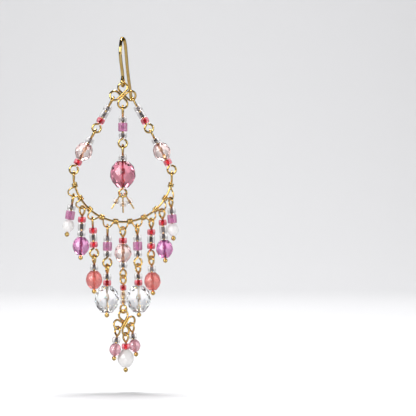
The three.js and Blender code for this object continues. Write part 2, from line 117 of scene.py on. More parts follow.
def on_circle(radius: float, angle: np.ndarray | float) -> np.ndarray:
    """Points of the picture's plane on a circle, in degrees from +X towards +Z."""
    turn = np.radians(angle)
    return np.stack([radius * np.cos(turn), 0 * turn, radius * np.sin(turn)], axis=-1)


def turned_about_z(points: np.ndarray, angle: float) -> np.ndarray:
    """Points turned about +Z, in degrees from +X towards +Y."""
    c, s = math.cos(math.radians(angle)), math.sin(math.radians(angle))
    return points @ np.array([[c, s, 0.0], [-s, c, 0.0], [0.0, 0.0, 1.0]])


def turned_about_y(points: np.ndarray, angle: float) -> np.ndarray:
    """Points turned about +Y, in degrees from +Z towards +X."""
    c, s = math.cos(math.radians(angle)), math.sin(math.radians(angle))
    return points @ np.array([[c, 0.0, -s], [0.0, 1.0, 0.0], [s, 0.0, c]])


def between(t: np.ndarray, low: float, high: float, first: np.ndarray, second: np.ndarray) -> np.ndarray:
    """A straight blend that is at the first place at the low knot and at the second at the high one."""
    return first * (high - t) / (high - low) + second * (t - low) / (high - low)


def spline_piece(points: np.ndarray, knots: np.ndarray, count: int) -> np.ndarray:
    """The smooth curve between the middle two of four points.

    Straights between neighbours are blended two by two, and the two results once more.

    Args:
        points: Four points, one row each.
        knots: Their places along the curve.
        count: Number of stations, without the last point.

    Returns:
        The stations, one row each.
    """
    t = np.linspace(knots[1], knots[2], count, endpoint=False)[:, None]
    straights = [between(t, knots[k], knots[k + 1], points[k], points[k + 1]) for k in range(3)]
    blends = [between(t, knots[k], knots[k + 2], straights[k], straights[k + 1]) for k in range(2)]
    return between(t, knots[1], knots[2], blends[0], blends[1])


def evened(path: np.ndarray, step: float, soft: float) -> np.ndarray:
    """A path through given corners, with even steps and soft bends.

    The path is cut at equal lengths. Each station then moves to the mean of its neighbours, weighted
    by a raised cosine, and both ends stay where they are.

    Args:
        path: Corners, one row each.
        step: Length of a step.
        soft: Length of path that a bend is spread over.

    Returns:
        The stations, one row each.
    """
    lengths = np.linalg.norm(np.diff(path, axis=0), axis=1)
    along = np.concatenate([[0.0], np.cumsum(lengths)])
    count = int(round(along[-1] / step))
    at = np.linspace(0.0, along[-1], count + 1)
    even = np.stack([np.interp(at, along, path[:, k]) for k in range(3)], axis=1)
    reach = int(round(soft / (along[-1] / count) / 2))
    weight = 1 + np.cos(np.pi * np.arange(-reach, reach + 1) / (reach + 1))
    weight /= weight.sum()
    before = 2 * even[0] - even[reach:0:-1]
    after = 2 * even[-1] - even[-2 : -reach - 2 : -1]
    padded = np.concatenate([before, even, after])
    return np.stack([np.convolve(padded[:, k], weight, mode="valid") for k in range(3)], axis=1)


def steady_frame(path: np.ndarray) -> tuple[np.ndarray, np.ndarray, np.ndarray]:
    """Tangent, normal and binormal at each station, turning as little as possible.

    A first normal is a fixed direction made square to the tangent. Carried by the smallest turn from
    one tangent to the next, it would differ from the next first normal by some angle. The running
    sum of those angles, taken about the tangent, gives the steady normal.

    Args:
        path: Stations, one row each.

    Returns:
        Arrays of tangents, normals and binormals.
    """
    tangent = np.gradient(path, axis=0)
    tangent /= np.linalg.norm(tangent, axis=1, keepdims=True)
    fixed = np.array([0.36, 0.48, 0.8])
    first = fixed - (tangent @ fixed)[:, None] * tangent
    first /= np.linalg.norm(first, axis=1, keepdims=True)
    second = np.cross(tangent, first)
    axis = np.cross(tangent[:-1], tangent[1:])
    cosine = np.sum(tangent[:-1] * tangent[1:], axis=1, keepdims=True)
    carried = first[:-1] * cosine + np.cross(axis, first[:-1])
    carried += axis * np.sum(axis * first[:-1], axis=1, keepdims=True) / (1 + cosine)
    step = np.arctan2(np.sum(carried * second[1:], axis=1), np.sum(carried * first[1:], axis=1))
    angle = np.concatenate([[0.0], np.cumsum(step)])[:, None]
    normal = np.cos(angle) * first + np.sin(angle) * second
    return tangent, normal, np.cross(tangent, normal)


def rings_about_z(radius: np.ndarray, height: np.ndarray, sides: int, lag: np.ndarray) -> np.ndarray:
    """Rings of corners about Z: each radius times the turn's cosine and sine, at its height.

    Args:
        radius: The rings' radii.
        height: The rings' heights.
        sides: Corners in a ring.
        lag: The rings' turns, as shares of a side.

    Returns:
        Corners, one row each.
    """
    turn = 2 * np.pi * (np.arange(sides)[None, :] + lag[:, None]) / sides
    across = radius[:, None]
    up = np.broadcast_to(height[:, None], turn.shape)
    return np.stack([across * np.cos(turn), across * np.sin(turn), up], axis=-1).reshape(-1, 3)


def band_faces(rows: int, sides: int, closed: bool = False) -> np.ndarray:
    """Four-sided faces between rings of corners, row by row.

    Args:
        rows: Number of rings.
        sides: Corners in a ring.
        closed: Whether the last ring also joins the first.

    Returns:
        Corner numbers, one face a row.
    """
    row = np.arange(rows if closed else rows - 1)[:, None] * sides
    beyond = (row + sides) % (rows * sides)
    side = np.arange(sides)[None, :]
    after = (side + 1) % sides
    return np.stack([row + side, row + after, beyond + after, beyond + side], axis=-1).reshape(-1, 4)


def new_object(name: str, corners: np.ndarray, faces: list[list[int]]) -> bpy.types.Object:
    """An object at the origin, in metres.

    Args:
        name: The object's name.
        corners: Corners in millimetres, one row each.
        faces: Corner numbers of each face.

    Returns:
        The new object.
    """
    mesh = bpy.data.meshes.new(name)
    mesh.from_pydata((corners * MM).tolist(), [], faces)
    mesh.update()
    made = bpy.data.objects.new(name, mesh)
    bpy.context.scene.collection.objects.link(made)
    return made


@dataclass
class Surface:
    """Corners and faces of one closed piece, and which faces line its bore."""

    corners: np.ndarray
    faces: list[list[int]]
    lined: np.ndarray | None = None

    def volume(self) -> float:
        """The signed volume: the sum of the tetrahedra from the origin to each face's triangles.

        Returns:
            The volume, below zero where the faces point inwards.
        """
        fans = [np.array([[f[0], f[k], f[k + 1]] for f in self.faces if len(f) > k + 1]) for k in (1, 2)]
        triangles = np.concatenate([fan for fan in fans if len(fan)])
        a, b, c = (self.corners[triangles[:, k]] for k in range(3))
        return float(np.sum(a * np.cross(b, c)) / 6)

    def to_object(self, name: str) -> bpy.types.Object:
        """An object of this surface, with its faces outwards."""
        faces = self.faces if self.volume() > 0 else [face[::-1] for face in self.faces]
        return new_object(name, self.corners, faces)


def wire_surface(path: np.ndarray, radii: np.ndarray | float, sides: int = 12) -> Surface:
    """A round wire along a path, with domed ends.

    At each station a circle of that station's radius stands square to the tangent. A dome of three
    smaller circles and a pole closes each end: it rises with the sine and narrows with the cosine of
    an angle that runs from zero to a right angle.

    Args:
        path: Stations, one row each.
        radii: The wire's radius, or one radius a station.
        sides: Corners in a circle.

    Returns:
        The closed surface.
    """
    tangent, normal, binormal = steady_frame(path)
    radii = np.broadcast_to(radii, len(path))
    dome = np.radians(DOME_ANGLES)
    lift = DOME * np.sin(dome)[:, None]
    start = path[0] - tangent[0] * radii[0] * lift
    finish = (path[-1] + tangent[-1] * radii[-1] * lift)[::-1]
    stations = np.concatenate([start, path, finish])
    widths = np.concatenate([radii[0] * np.cos(dome), radii, (radii[-1] * np.cos(dome))[::-1]])
    domes = ((len(dome), len(dome)), (0, 0))
    first, second = (np.pad(way, domes, mode="edge")[:, None] for way in (normal, binormal))
    angle = 2 * np.pi * np.arange(sides) / sides
    ring = np.cos(angle)[None, :, None] * first + np.sin(angle)[None, :, None] * second
    corners = (stations[:, None] + widths[:, None, None] * ring).reshape(-1, 3)
    poles = path[0] - DOME * tangent[0] * radii[0], path[-1] + DOME * tangent[-1] * radii[-1]
    count = len(corners)
    side = np.arange(sides)
    after = (side + 1) % sides
    base = count - sides
    near = np.stack([after, side, np.full(sides, count)], axis=1)
    far = np.stack([base + side, base + after, np.full(sides, count + 1)], axis=1)
    faces = band_faces(len(stations), sides).tolist() + near.tolist() + far.tolist()
    return Surface(np.vstack([corners, *poles]), faces)


def turned_bead(across: float, long: float, bore: float, corner: float) -> Surface:
    """A drilled bead turned about Z.

    Its section is a rounded oblong between the bore and the outer radius: it runs out and along by
    the cosine and sine of an angle, each raised to two over the corner number, so a larger number
    makes squarer corners.

    Args:
        across: Largest diameter.
        long: Length along the wire.
        bore: Radius of the hole.
        corner: Squareness of the section's corners, 2 for an ellipse.

    Returns:
        The closed surface.
    """
    angle = 2 * np.pi * np.arange(SECTION_SIDES) / SECTION_SIDES
    out, along = (np.sign(wave) * np.abs(wave) ** (2 / corner) for wave in (np.cos(angle), np.sin(angle)))
    outer = across / 2
    radius = (outer + bore) / 2 + (outer - bore) / 2 * out
    corners = rings_about_z(radius, long / 2 * along, TURNED_SIDES, np.zeros(SECTION_SIDES))
    faces = band_faces(SECTION_SIDES, TURNED_SIDES, closed=True).tolist()
    rows = np.abs(np.arange(SECTION_SIDES) + 0.5 - SECTION_SIDES / 2)
    return Surface(corners, faces, np.repeat(rows < LINED_ROWS / 2, TURNED_SIDES))


def cut_bead(across: float, long: float, bore: float) -> Surface:
    """A drilled bead with triangular facets and a flat table at each end.

    Each ring of corners is turned by half a side from the one before, so the facets between two
    rings are triangles. The bore's two rings stand as the ends' rings do.

    Args:
        across: Largest diameter.
        long: Length along the wire.
        bore: Radius of the hole.

    Returns:
        The closed surface.
    """
    rings = CUT_RINGS * [across / 2, long / 2]
    rings = np.concatenate([[[bore, rings[0, 1]]], rings, [[bore, rings[-1, 1]]]])
    odd = np.concatenate([[0], np.arange(len(CUT_RINGS)) % 2, [1]])
    corners = rings_about_z(rings[:, 0], rings[:, 1], CUT_SIDES, odd / 2)
    side = np.arange(CUT_SIDES)
    after = (side + 1) % CUT_SIDES
    faces: list[list[int]] = []
    for row in range(len(rings)):
        beyond = (row + 1) % len(rings)
        low, high = row * CUT_SIDES, beyond * CUT_SIDES
        if odd[row] == odd[beyond]:
            bands = [(low + side, low + after, high + after, high + side)]
        elif odd[row] == 0:
            bands = [(low + side, low + after, high + side), (high + side, low + after, high + after)]
        else:
            bands = [(low + side, high + after, high + side), (low + side, low + after, high + after)]
        for band in bands:
            faces += np.stack(band, axis=1).tolist()
    return Surface(corners, faces, np.arange(len(faces)) >= len(faces) - CUT_SIDES)


def handling_group() -> bpy.types.NodeTree:
    """The soft smears and fine pits that handling leaves on metal and glass, built once.

    Returns:
        A group that puts out a smear mask and a pit height, from noise on Object coordinates.
    """
    found = bpy.data.node_groups.get("handling")
    if found:
        return found
    group = bpy.data.node_groups.new("handling", "ShaderNodeTree")
    nodes, links = group.nodes, group.links
    place = nodes.new("ShaderNodeTexCoord")
    given = nodes.new("NodeGroupInput")
    result = nodes.new("NodeGroupOutput")
    for mark, scale, detail in (("Smear", 900.0, 3.0), ("Pits", 9000.0, 2.0)):
        size = group.interface.new_socket(f"{mark} Scale", in_out="INPUT", socket_type="NodeSocketFloat")
        size.default_value = scale
        group.interface.new_socket(mark, in_out="OUTPUT", socket_type="NodeSocketFloat")
        noise = nodes.new("ShaderNodeTexNoise")
        noise.inputs["Detail"].default_value = detail
        links.new(place.outputs["Object"], noise.inputs["Vector"])
        links.new(given.outputs[f"{mark} Scale"], noise.inputs["Scale"])
        links.new(noise.outputs["Fac"], result.inputs[mark])
    return group


def colour_mix(tree: bpy.types.NodeTree, share: bpy.types.NodeSocket) -> tuple[bpy.types.NodeSocket, ...]:
    """A mix of two colours.

    Args:
        tree: The nodes that get the mix.
        share: The socket of the second colour's share.

    Returns:
        The sockets of both colours and of the result.
    """
    mix = tree.nodes.new("ShaderNodeMix")
    mix.data_type = "RGBA"
    tree.links.new(share, mix.inputs["Factor"])
    return tuple(socket for socket in (*mix.inputs, *mix.outputs) if socket.type == "RGBA")


@dataclass(frozen=True)
class Finish:
    """A finish: its name, a slot name (not used), and its pale and deep tones.

    The tones meet within a span of the smear mask, which also varies the roughness.
    """

    name: str
    slot: str
    light: Colour
    deep: Colour
    span: tuple[float, float] = (0.3, 0.7)
    gloss: tuple[float, float] = (0.0, 0.05)
    # Edge colour: in glass a painted edge shade, in gold the tint of its gloss at grazing angles
    edge: Colour = (0.85, 0.84, 0.84)

    def start(self, name: str) -> tuple[bpy.types.Material, bpy.types.Node, bpy.types.Node]:
        """A new material.

        Args:
            name: Its name.

        Returns:
            The material, its surface shader and its handling group.
        """
        material = bpy.data.materials.new(name)
        material.use_nodes = True
        handling = material.node_tree.nodes.new("ShaderNodeGroup")
        handling.node_tree = handling_group()
        return material, material.node_tree.nodes["Principled BSDF"], handling

    def tones(self, tree: bpy.types.NodeTree, mask: bpy.types.NodeSocket, span: tuple[float, float],
              colours: tuple[Colour, Colour]) -> bpy.types.NodeSocket:
        """Two colours that meet within a span of a mask.

        Args:
            tree: The material's nodes.
            mask: The mask's socket.
            span: Where the first colour ends and the second begins.
            colours: Both colours.

        Returns:
            The colour's socket.
        """
        ramp = tree.nodes.new("ShaderNodeValToRGB")
        for point, place, colour in zip(ramp.color_ramp.elements, span, colours):
            point.position = place
            point.color = (*colour, 1.0)
        tree.links.new(mask, ramp.inputs["Fac"])
        return ramp.outputs["Color"]

    def worn(self, tree: bpy.types.NodeTree, shader: bpy.types.Node,
             smear: bpy.types.NodeSocket) -> bpy.types.NodeSocket:
        """Lets the smears vary the roughness and the tone.

        Args:
            tree: The material's nodes.
            shader: Its surface shader.
            smear: The smear mask's socket.

        Returns:
            The tone's socket.
        """
        rough = tree.nodes.new("ShaderNodeMapRange")
        rough.inputs["To Min"].default_value, rough.inputs["To Max"].default_value = self.gloss
        tree.links.new(smear, rough.inputs["Value"])
        tree.links.new(rough.outputs["Result"], shader.inputs["Roughness"])
        return self.tones(tree, smear, self.span, (self.deep, self.light))


@dataclass(frozen=True)
class GoldFinish(Finish):
    """Polished gold-coloured plating with faint smears and pits."""

    span: tuple[float, float] = (0.35, 0.65)
    gloss: tuple[float, float] = (0.06, 0.16)
    # The tint of the gold's gloss at grazing angles, set on its shader
    edge: Colour = (0.13, 0.065, 0.012)
    pit_strength: float = 0.12
    pit_depth: float = 0.004

    def build(self) -> bpy.types.Material:
        """The gold material: smears change its tone and gloss a little, and pits roughen it.

        Returns:
            The new material.
        """
        material, shader, handling = self.start(self.name)
        tree = material.node_tree
        tree.links.new(self.worn(tree, shader, handling.outputs["Smear"]), shader.inputs["Base Color"])
        bump = tree.nodes.new("ShaderNodeBump")
        bump.inputs["Strength"].default_value = self.pit_strength
        bump.inputs["Distance"].default_value = self.pit_depth * MM
        tree.links.new(handling.outputs["Pits"], bump.inputs["Height"])
        tree.links.new(bump.outputs["Normal"], shader.inputs["Normal"])
        shader.inputs["Specular Tint"].default_value = (*self.edge, 1.0)
        shader.inputs["Metallic"].default_value = 1.0
        return material


@dataclass(frozen=True)
class GlassFinish(Finish):
    """Glass with its own clearness, thin film and bore. Its colour deepens towards its edges as a painted
    edge shade, as the camera sees them, and its bore gets a painted shade lining.
    """

    clearness: float = 1.0
    # How far in from the edges the painted edge shade reaches
    painted_edge_shade_reach: float = 0.35
    film: float = 0.0
    bend: float = 1.5
    # The painted shade inside the bore, a dark line where the wire runs in the glass, and how its paler
    # spots are made
    core: Colour = (0.1, 0.06, 0.05)
    bore_shade_span: tuple[float, float] = (0.42, 0.58)
    bore_shade_gain: float = 3.5
    bore_shade_lift: float = 0.04
    core_metal: float = 0.6
    core_rough: float = 0.35

    def build_painted_bore_shade(self) -> bpy.types.Material:
        """The lining of the bore: a painted shade, a dark line where the wire runs in the glass, with paler
        spots.

        Returns:
            The new material.
        """
        material, shader, handling = self.start(f"{self.name}_core")
        tree = material.node_tree
        paler = tuple(min(1.0, part * self.bore_shade_gain + self.bore_shade_lift) for part in self.core)
        # The painted bore shade, with paler spots where the smear mask is high
        line = self.tones(tree, handling.outputs["Smear"], self.bore_shade_span, (self.core, paler))
        tree.links.new(line, shader.inputs["Base Color"])
        shader.inputs["Metallic"].default_value = self.core_metal
        shader.inputs["Roughness"].default_value = self.core_rough
        return material

    def build(self) -> bpy.types.Material:
        """The glass material: smears vary its tint and gloss a little, and a painted edge shade deepens its
        colour towards the edges as the camera sees them.

        Returns:
            The new material.
        """
        material, shader, handling = self.start(self.name)
        tree = material.node_tree
        # Painted edge shade: towards the edges, as the camera sees them, the colour turns to the edge colour
        away = tree.nodes.new("ShaderNodeLayerWeight")
        away.inputs["Blend"].default_value = self.painted_edge_shade_reach
        middle, edge, tint = colour_mix(tree, away.outputs["Facing"])
        edge.default_value = (*self.edge, 1.0)
        tree.links.new(self.worn(tree, shader, handling.outputs["Smear"]), middle)
        tree.links.new(tint, shader.inputs["Base Color"])
        shader.inputs["Transmission Weight"].default_value = self.clearness
        shader.inputs["IOR"].default_value = self.bend
        shader.inputs["Thin Film Thickness"].default_value = self.film
        return material


class Palette(Enum):
    """The finishes of this earring."""

    # Each glass's edge colour is a painted edge shade, and its bore colour a painted shade inside the bore
    GOLD = GoldFinish("polished_gold", "gold_wire", (1.0, 0.74, 0.29), (0.85, 0.57, 0.19))
    CLEAR = GlassFinish("clear_seed_glass", "crystal_glass", (1.0, 0.98, 0.97), (0.93, 0.9, 0.89),
                        core=(0.07, 0.06, 0.06))
    PEACH = GlassFinish("peach_seed_glass", "crystal_glass", (1.0, 0.95, 0.91), (0.96, 0.86, 0.8),
                        core=(0.4, 0.22, 0.13))
    RED = GlassFinish("red_seed_glass", "rose_glass", (0.97, 0.34, 0.38), (0.85, 0.2, 0.26),
                      edge=(0.85, 0.35, 0.42), core=(0.35, 0.02, 0.03))
    MAUVE = GlassFinish("cut_mauve_glass", "mauve_glass", (0.9, 0.48, 0.69), (0.8, 0.36, 0.58),
                        gloss=(0.06, 0.16), edge=(0.55, 0.18, 0.4), clearness=0.7, core=(0.22, 0.05, 0.17))
    PINK = GlassFinish("cut_pink_glass", "pink_glass", (1.0, 0.96, 0.94), (1.0, 0.83, 0.79),
                       edge=(0.85, 0.22, 0.2), core=(0.5, 0.2, 0.15))
    ROSE = GlassFinish("cut_rose_glass", "rose_glass", (0.95, 0.43, 0.51), (0.87, 0.31, 0.39),
                       edge=(0.52, 0.13, 0.3), core=(0.2, 0.05, 0.07))
    PURPLE = GlassFinish("cut_purple_glass", "purple_glass", (0.95, 0.52, 0.8), (0.86, 0.36, 0.68),
                         edge=(0.62, 0.1, 0.38), core=(0.14, 0.04, 0.14))
    CORAL = GlassFinish("cut_coral_glass", "coral_glass", (1.0, 0.42, 0.37), (0.95, 0.3, 0.27),
                        gloss=(0.1, 0.2), edge=(0.9, 0.3, 0.35), clearness=0.75, core=(0.35, 0.06, 0.04))
    CRYSTAL = GlassFinish("cut_crystal_glass", "crystal_glass", (1.0, 1.0, 1.0), (0.97, 0.97, 0.98),
                          edge=(0.9, 0.9, 0.92), film=380.0, core=(0.35, 0.31, 0.28))
    WHITE = GlassFinish("cut_white_glass", "white_glass", (1.0, 0.98, 0.97), (0.98, 0.96, 0.95),
                        gloss=(0.1, 0.22), edge=(0.92, 0.9, 0.9), clearness=0.15, core=(0.5, 0.48, 0.46))
    LAVENDER = GlassFinish("cut_lavender_glass", "lavender_glass", (1.0, 0.7, 0.76), (1.0, 0.58, 0.66),
                           gloss=(0.04, 0.14), edge=(0.85, 0.36, 0.46), clearness=0.75,
                           core=(0.45, 0.2, 0.25))

    def material(self) -> bpy.types.Material:
        """The finish's material, built at its first use."""
        return bpy.data.materials.get(self.value.name) or self.value.build()

    def core(self) -> bpy.types.Material:
        """The material of the bore's lining, a painted shade, built at its first use."""
        return bpy.data.materials.get(f"{self.value.name}_core") or self.value.build_painted_bore_shade()


def dress(surface: Surface, name: str, palette: Palette, body: str, *nodes: str,
          flat: bool = False) -> None:
    """Makes a surface a piece of the earring.

    Args:
        surface: The piece's surface.
        name: The piece's name.
        palette: Its finish.
        body: The body that it moves with.
        nodes: The plain solids that it stands for.
        flat: Whether it has facets, which then get a fine bevel.
    """
    made = surface.to_object(name)
    made.data.materials.append(palette.material())
    made.data.polygons.foreach_set("use_smooth", np.full(len(made.data.polygons), not flat))
    # The bore's faces get the painted shade lining
    if surface.lined is not None:
        made.data.materials.append(palette.core())
        made.data.polygons.foreach_set("material_index", surface.lined.astype(np.int32))
    if flat:
        bevel = made.modifiers.new("soft_edges", "BEVEL")
        bevel.width = BEVEL * MM
        bevel.segments = BEVEL_STEPS
        bevel.limit_method = "ANGLE"
        bevel.angle_limit = math.radians(BEVEL_ANGLE)
    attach(made, body)
    if nodes:
        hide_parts(*nodes)
    log.info("%s: %s corners", name, len(surface.corners))


@dataclass(frozen=True)
class LoopStyle:
    """A wire loop: its middle line's radius, and how far its middle is from its neck."""

    radius: float
    rise: float

    @property
    def half(self) -> float:
        """Half the angle between the straights that meet at the neck, in radians."""
        return math.asin(self.radius / self.rise)

    @property
    def straight(self) -> float:
        """Length of each straight."""
        return math.sqrt(self.rise * self.rise - self.radius * self.radius)

    def shoulder(self, wire: float) -> float:
        """How far the wire's own thickness stands above the neck."""
        return wire / 2 * math.sin(self.half)

    def end(self, wire: float) -> float:
        """Where the wire's end stops, clear of the first straight or, in a blunt loop, of the neck.

        Args:
            wire: The wire's diameter.

        Returns:
            The distance from the neck.
        """
        whole = 2 * self.half
        clear = (wire / 2 * (1 + abs(math.cos(whole))) + END_GAP) / math.sin(whole)
        return min(clear, wire / 2 * (1 + DOME) + END_GAP) if whole > math.pi / 2 else clear

    def line(self, wire: float) -> np.ndarray:
        """The middle line from the neck: stem, straight, round, and back short of the neck.

        Args:
            wire: The wire's diameter.

        Returns:
            Points as side and out, one row each.
        """
        half, away = self.half, self.end(wire)
        bend = min(wire * LOOP_BEND, self.straight / 2)
        cut = max(0.0, away - self.straight) / self.radius
        angle = np.linspace(-half - np.pi / 2, half + np.pi / 2 - cut, LOOP_STEPS)
        arc = np.stack([self.radius * np.sin(angle), self.rise + self.radius * np.cos(angle)], axis=1)
        lead = [[0.0, -bend], [-math.sin(half) * bend, math.cos(half) * bend]]
        tail = [[math.sin(half) * away, math.cos(half) * away]]
        return np.concatenate([lead, arc, tail] if away < self.straight else [lead, arc])

    def stations(self, wire: float, neck: float, turn: float, upward: bool) -> np.ndarray:
        """The middle line in space, on its neck and turned about Z.

        Args:
            wire: The wire's diameter.
            neck: Height of the neck.
            turn: Turn of the loop's plane, 0 for the plane of Y and Z.
            upward: Whether the loop stands above its neck.

        Returns:
            Stations, one row each.
        """
        side, out = self.line(wire).T
        angle = math.radians(turn)
        height = neck + (out if upward else -out)
        return np.stack([side * math.sin(angle), side * math.cos(angle), height], axis=1)


class Loops(Enum):
    """The loop styles of this earring."""

    ROUND = LoopStyle(1.0, 1.1)
    LONG = LoopStyle(1.0, 1.36)
    SMALL = LoopStyle(0.92, 0.98)
    TINY = LoopStyle(0.55, 1.0)


class Form(Enum):
    """How a bead is made: the squareness of its section's corners, or none for a cut one."""

    SEED = 2.7
    BUGLE = 5.0
    TUBE = 7.0
    CUT = None


@dataclass(frozen=True)
class BeadSize:
    """A bead's form, diameter, length and finish."""

    form: Form
    across: float
    long: float
    palette: Palette

    def surface(self, wire: float) -> Surface:
        """The bead about Z, drilled to go over a wire.

        Args:
            wire: The wire's diameter.

        Returns:
            The bead's surface.
        """
        bore = wire / 2 + BORE_GAP
        if self.form is Form.CUT:
            return cut_bead(self.across, self.long, bore)
        return turned_bead(self.across, self.long, bore, self.form.value)


class Beads(Enum):
    """The beads of this earring."""

    CLEAR = BeadSize(Form.SEED, 1.95, 1.4, Palette.CLEAR)
    RED = BeadSize(Form.SEED, 1.95, 1.4, Palette.RED)
    BUGLE = BeadSize(Form.BUGLE, 1.8, 1.85, Palette.CLEAR)
    SLIM_BUGLE = BeadSize(Form.BUGLE, 1.45, 1.85, Palette.PEACH)
    SLIM = BeadSize(Form.SEED, 1.5, 1.25, Palette.PEACH)
    SLIM_RED = BeadSize(Form.SEED, 1.5, 1.25, Palette.RED)
    MAUVE = BeadSize(Form.TUBE, 2.2, 2.1, Palette.MAUVE)
    PINK = BeadSize(Form.CUT, 4.1, 4.25, Palette.PINK)
    PURPLE = BeadSize(Form.CUT, 4.05, 4.25, Palette.PURPLE)
    CORAL = BeadSize(Form.CUT, 3.95, 4.25, Palette.CORAL)
    CRYSTAL = BeadSize(Form.CUT, 5.8, 6.2, Palette.CRYSTAL)
    ROSE = BeadSize(Form.CUT, 6.1, 6.3, Palette.ROSE)
    WHITE = BeadSize(Form.CUT, 3.95, 4.15, Palette.WHITE)
    WHITE_SMALL = BeadSize(Form.CUT, 2.8, 2.85, Palette.WHITE)
    LAVENDER = BeadSize(Form.CUT, 2.8, 2.9, Palette.LAVENDER)

    @property
    def loose(self) -> bool:
        """Whether the bead lies loose on its wire and stands for a solid of its own."""
        return self.value.form in (Form.TUBE, Form.CUT)


@dataclass(frozen=True)
class Support:
    """A round of wire that something hangs in."""

    middle: np.ndarray
    radius: float
    wire: float
    turn: float = 0.0


@dataclass
class Strand:
    """A link or pin: a wire with a loop at its top, beads, and a loop, ball or bare end below.

    It leans from straight down, and grips its support at the contact's direction, or else the lean's.
    """

    name: str
    beads: tuple[Beads, ...]
    top: Loops
    turn: float
    lean: float
    bottom: Loops | None = None
    join: float = 0.0
    contact: float | None = None
    wire: float = LINK_WIRE
    tail: float = 0.0
    step: float = 0.09
    soft: float = 0.35

    def layout(self) -> tuple[list[float], float]:
        """Places along the wire, as heights from the top loop's middle.

        Returns:
            The heights of the beads' middles, and of the foot.
        """
        height = -self.top.value.rise - self.top.value.shoulder(self.wire)
        loose = False
        heights = []
        for i, bead in enumerate(self.beads):
            height -= BEAD_GAP if bead.loose or loose else min(i, 1) * SEED_GAP
            heights.append(height - bead.value.long / 2)
            height -= bead.value.long
            loose = bead.loose
        height -= BEAD_GAP if loose else 0.0
        foot = height - self.bottom.value.shoulder(self.wire) if self.bottom else height
        return heights, foot

    def length(self) -> float:
        """Distance from the upper loop's middle to the lower one's."""
        return self.bottom.value.rise - self.layout()[1]

    def wire_piece(self, foot: float) -> Surface:
        """The wire about Z. A pin ends in a ball, whose radii follow a circle's sine.

        Args:
            foot: Height of the foot.

        Returns:
            The wire's surface.
        """
        line = self.top.value.stations(self.wire, -self.top.value.rise, self.turn, True)[::-1]
        end = np.array([[0.0, 0.0, foot - self.tail]])
        if self.bottom:
            end = self.bottom.value.stations(self.wire, foot, self.join, False)
        path = evened(np.concatenate([line, end]), self.step, self.soft)
        radii = np.full(len(path), self.wire / 2)
        if not self.bottom and not self.tail:
            ball = BALL / 2
            angle = np.linspace(math.asin(self.wire / BALL), np.pi * BALL_SHARE, BALL_RINGS)
            height = path[-1, 2] - ball + ball * np.cos(angle)
            swell = np.stack([0 * angle, 0 * angle, height], axis=1)
            path = np.concatenate([path[:-BALL_COVERS], swell])
            radii = np.concatenate([radii[:-BALL_COVERS], ball * np.sin(angle)])
        return wire_surface(path, radii)

    def hang(self, support: Support) -> Support | None:
        """Makes the strand's pieces where it hangs in a support.

        Args:
            support: The round of wire that it hangs in.

        Returns:
            The support that its own lower loop makes, if it has one.
        """
        contact = self.lean if self.contact is None else self.contact
        heights, foot = self.layout()
        grip = (support.wire + self.wire) / 2 + WIRE_GAP
        down = turned_about_z(hanging(contact), support.turn)
        middle = support.middle + down * (support.radius - grip)
        middle = middle + hanging(self.lean) * self.top.value.radius

        def placed(surface: Surface) -> Surface:
            """The surface leaned and moved to where the strand hangs."""
            corners = turned_about_y(surface.corners, -self.lean) + middle
            return Surface(corners, surface.faces, surface.lined)

        dress(placed(self.wire_piece(foot)), f"{self.name}_wire", Palette.GOLD, "chandelier", self.name)
        stem = self.name.removesuffix("_link").removesuffix("_pin")
        for i, (bead, height) in enumerate(zip(self.beads, heights)):
            surface = bead.value.surface(self.wire)
            surface.corners[:, 2] += height
            surface, palette = placed(surface), bead.value.palette
            if bead.loose:
                node = f"{stem}_tube" if bead.value.form is Form.TUBE else f"{stem}_bead"
                flat = bead.value.form is Form.CUT
                dress(surface, f"{node}_glass", palette, "chandelier", node, flat=flat)
            else:
                dress(surface, f"{self.name}_seed_{i + 1}", palette, "chandelier")
        if not self.bottom:
            return None
        low = np.array([0.0, 0.0, foot - self.bottom.value.rise])
        return Support(turned_about_y(low, -self.lean) + middle, self.bottom.value.radius, self.wire)


@dataclass
class EarWire:
    """The fishhook ear wire, with a ring at its foot.

    The outline gives shares of the depth behind and of the height below the bend's top.
    """

    ring: LoopStyle = LoopStyle(0.875, 1.12)
    drop: float = 10.06
    depth: float = 9.4
    height: float = 14.2
    turn: float = -10.0
    outline: tuple[tuple[float, float], ...] = (
        (-0.1, 0.52), (-0.235, 0.37), (-0.285, 0.25), (-0.245, 0.11), (-0.14, 0.025), (0.0, 0.0),
        (0.16, 0.018), (0.3, 0.1), (0.39, 0.24), (0.52, 0.46), (0.68, 0.66), (0.9, 0.88), (1.0, 1.0),
    )
    spline_steps: int = 14
    step: float = 0.12
    soft: float = 0.5
    sides: int = 20

    def leg(self, start: np.ndarray) -> np.ndarray:
        """The wire from the ring over the bend to its end.

        The knots of the curve are apart by the square roots of the points' distances.

        Args:
            start: The ring's first station.

        Returns:
            Stations, one row each.
        """
        back, down = np.array(self.outline).T
        rows = np.stack([0 * back, back * self.depth, HOOK_WIRE / 2 - down * self.height], axis=1)
        points = np.concatenate([[start], rows])
        points = np.concatenate([[2 * points[0] - points[1]], points, [2 * points[-1] - points[-2]]])
        knots = np.sqrt(np.linalg.norm(np.diff(points, axis=0), axis=1))
        knots = np.concatenate([[0.0], np.cumsum(knots)])
        pieces = [
            spline_piece(points[i : i + 4], knots[i : i + 4], self.spline_steps)
            for i in range(len(points) - 3)
        ]
        return np.concatenate([*pieces, points[-2:-1]])

    def build(self) -> Support:
        """Makes the ear wire.

        Returns:
            Its ring, as a support.
        """
        line = self.ring.stations(HOOK_WIRE, self.ring.rise - self.drop, 0.0, False)
        path = np.concatenate([line[::-1], self.leg(line[0])[1:]])
        path = turned_about_z(evened(path, self.step, self.soft), self.turn)
        dress(wire_surface(path, HOOK_WIRE / 2, self.sides), "ear_wire", Palette.GOLD, "hook", "ear_hook")
        return Support(np.array([0.0, 0.0, -self.drop]), self.ring.radius, HOOK_WIRE)


